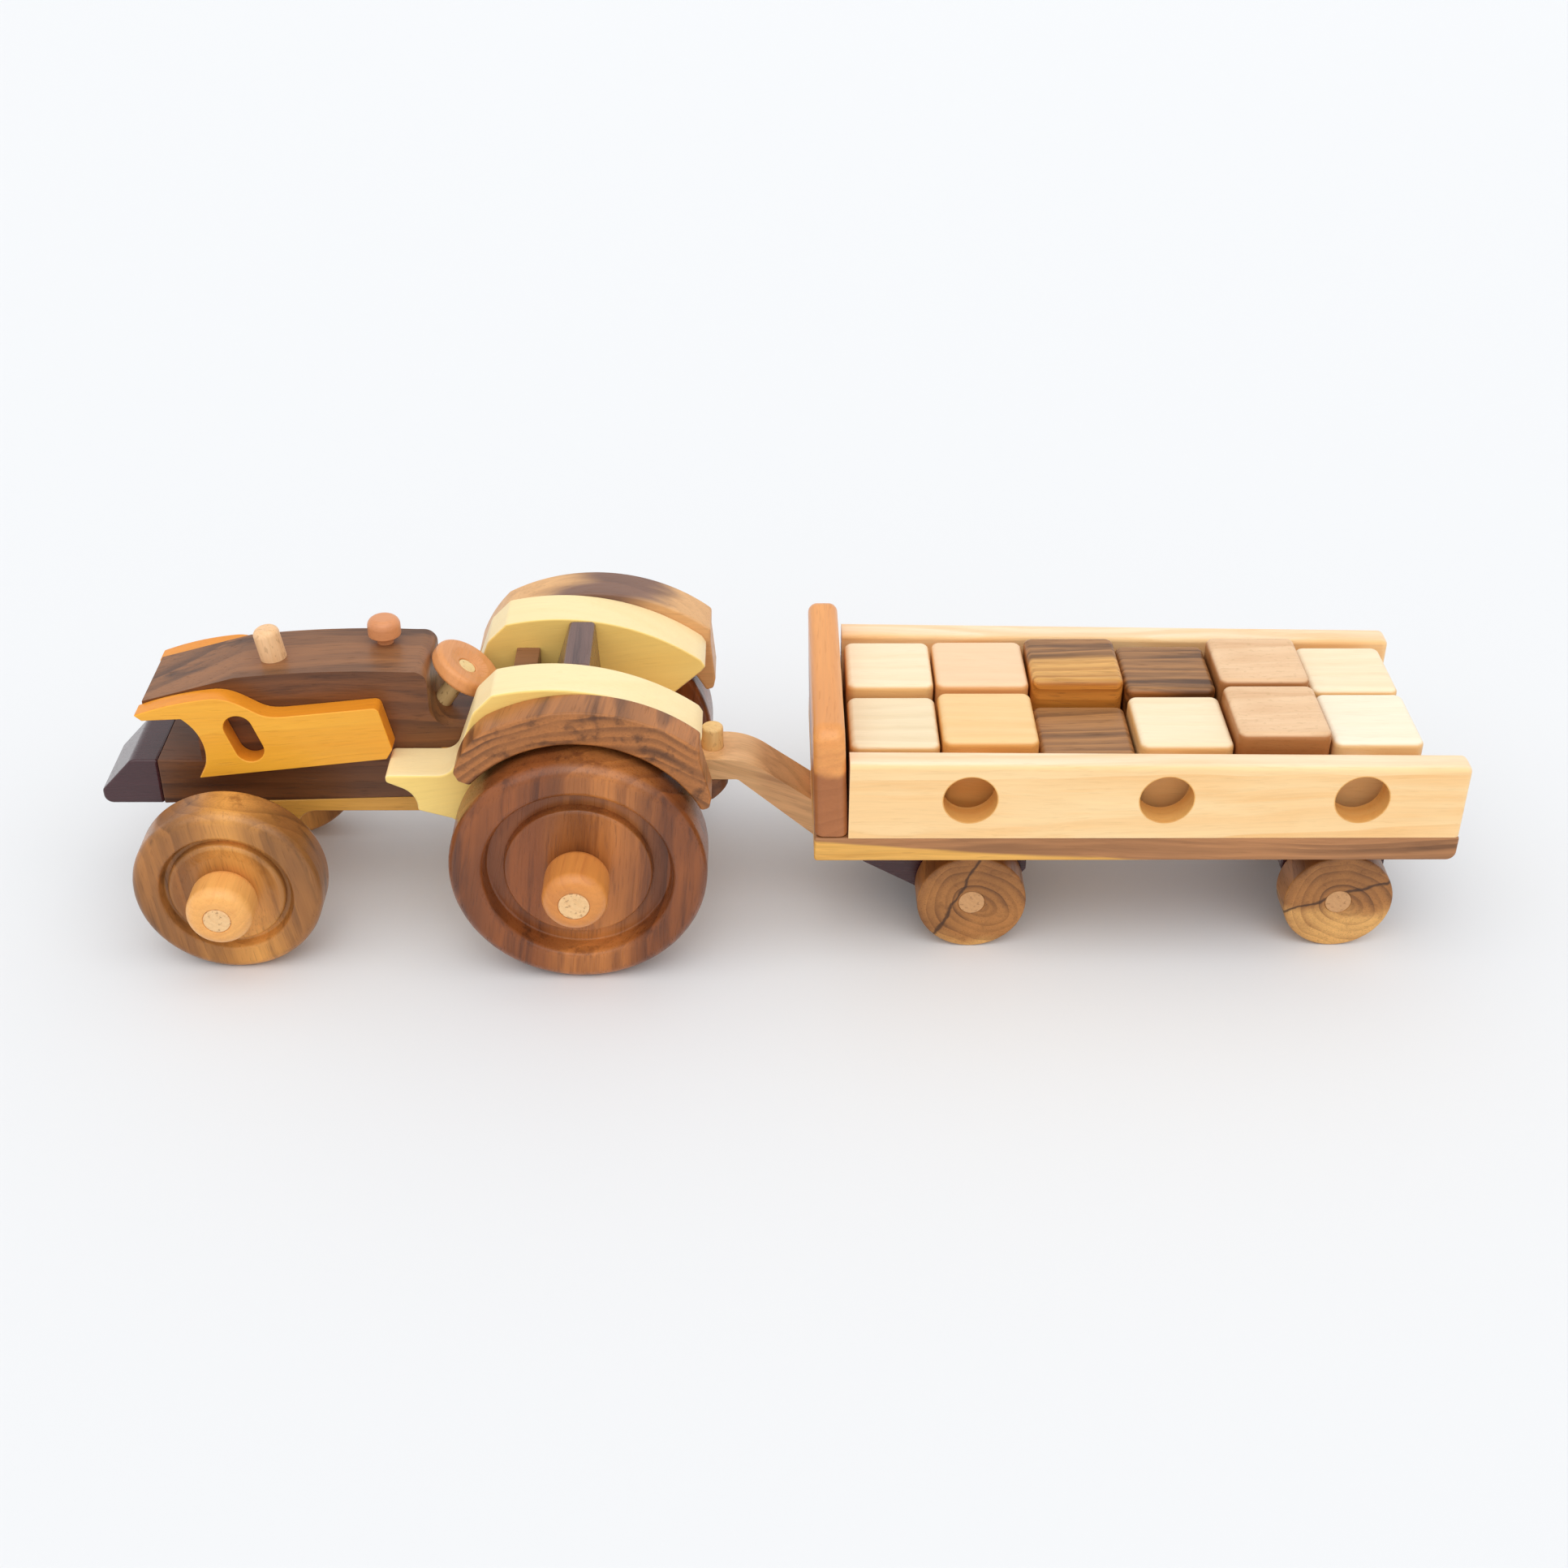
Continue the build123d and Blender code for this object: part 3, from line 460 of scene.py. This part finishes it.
for side, row in blocks.items():
    for number, kind in enumerate(row, start=1):
        # Each block is sawn from another depth of its log, in a mixed-up order.
        depth = (7 * number) % 5
        block = f"block_{side}_{number}"
        # A block's sides are darker than its top: painted shade, as under light from above.
        changes = {"rim": (Z, (0.55, 0.34, 0.18) if kind is SPECKLED else (0.86, 0.62, 0.36))}
        if block == "block_right_3":
            changes["heart"] = dict(point=at(block, (0.5, 0.48, 0.5)), direction=-Y + 0.1 * X,
                                    soft=5 * MM, wobble=10 * MM, light=(0.76, 0.40, 0.11),
                                    dark=(0.40, 0.16, 0.025))
        paint(block, X, (0, 30 + 9 * depth, -24 - 6 * depth), kind, 0.5 * MM, **changes)


# ---- floor, light and camera ------------------------------------------------------------------
floor_half = 6.0
signs = ((-1, -1), (1, -1), (1, 1), (-1, 1))
floor_corners = [(floor_half * x, floor_half * y, 0) for x, y in signs]
floor_mesh = bpy.data.meshes.new("floor")
floor_mesh.from_pydata(floor_corners, [], [(0, 1, 2, 3)])
floor = bpy.data.objects.new("floor", floor_mesh)
bpy.context.scene.collection.objects.link(floor)
paper = Nodes("paper")
sheet = paper.add("ShaderNodeBsdfPrincipled", {
    "Base Color": (0.795, 0.797, 0.805), "Roughness": 0.8, "Specular IOR Level": 0.2,
})
paper.add("ShaderNodeOutputMaterial", {"Surface": sheet.outputs[0]})
floor.data.materials.append(paper.material)

world = bpy.data.worlds.new("studio")
world.use_nodes = True
sky = world.node_tree.nodes["Background"]
sky.inputs["Color"].default_value = (0.955, 0.98, 1.0, 1.0)
sky.inputs["Strength"].default_value = 0.77
bpy.context.scene.world = world


def lamp(name, kind, place, **settings):
    """A light of one kind that faces the middle of the toy from a place."""
    data = bpy.data.lights.new(name, kind)
    for key, value in settings.items():
        setattr(data, key, value)
    holder = bpy.data.objects.new(name, data)
    holder.location = place
    holder.rotation_euler = (-Vector(place)).to_track_quat("-Z", "Y").to_euler()
    bpy.context.scene.collection.objects.link(holder)


lamp("behind", "AREA", (0.3, 1.9, 1.6), size=2.0, energy=2.0)
lamp("nose side", "SUN", (-0.62, -0.85, 1.55), energy=0.77, angle=radians(60))
lamp("tail side", "SUN", (0.66, -0.82, 1.60), energy=0.85, angle=radians(60))

# The camera was solved on the toy's straight edges and wheel circles.
camera_place = MM * Vector((-2.95, -579.56, 420.73))
camera_pitch, camera_yaw, camera_roll = radians(33.225), radians(0.746), radians(0.341)
ahead = Vector((
    sin(camera_yaw) * cos(camera_pitch), cos(camera_yaw) * cos(camera_pitch), -sin(camera_pitch),
))
level = Vector((cos(camera_yaw), -sin(camera_yaw), 0))
above = level.cross(ahead)
right = cos(camera_roll) * level + sin(camera_roll) * above
up = -sin(camera_roll) * level + cos(camera_roll) * above
camera_data = bpy.data.cameras.new("camera")
camera_data.lens = 48.50
camera_data.sensor_width = 36.0
camera = bpy.data.objects.new("camera", camera_data)
camera.matrix_world = Matrix((right, up, -ahead)).transposed().to_4x4()
camera.location = camera_place
bpy.context.scene.collection.objects.link(camera)
bpy.context.scene.camera = camera

bpy.context.scene.view_settings.view_transform = "Standard"
bpy.context.scene.view_settings.look = "Medium Contrast"
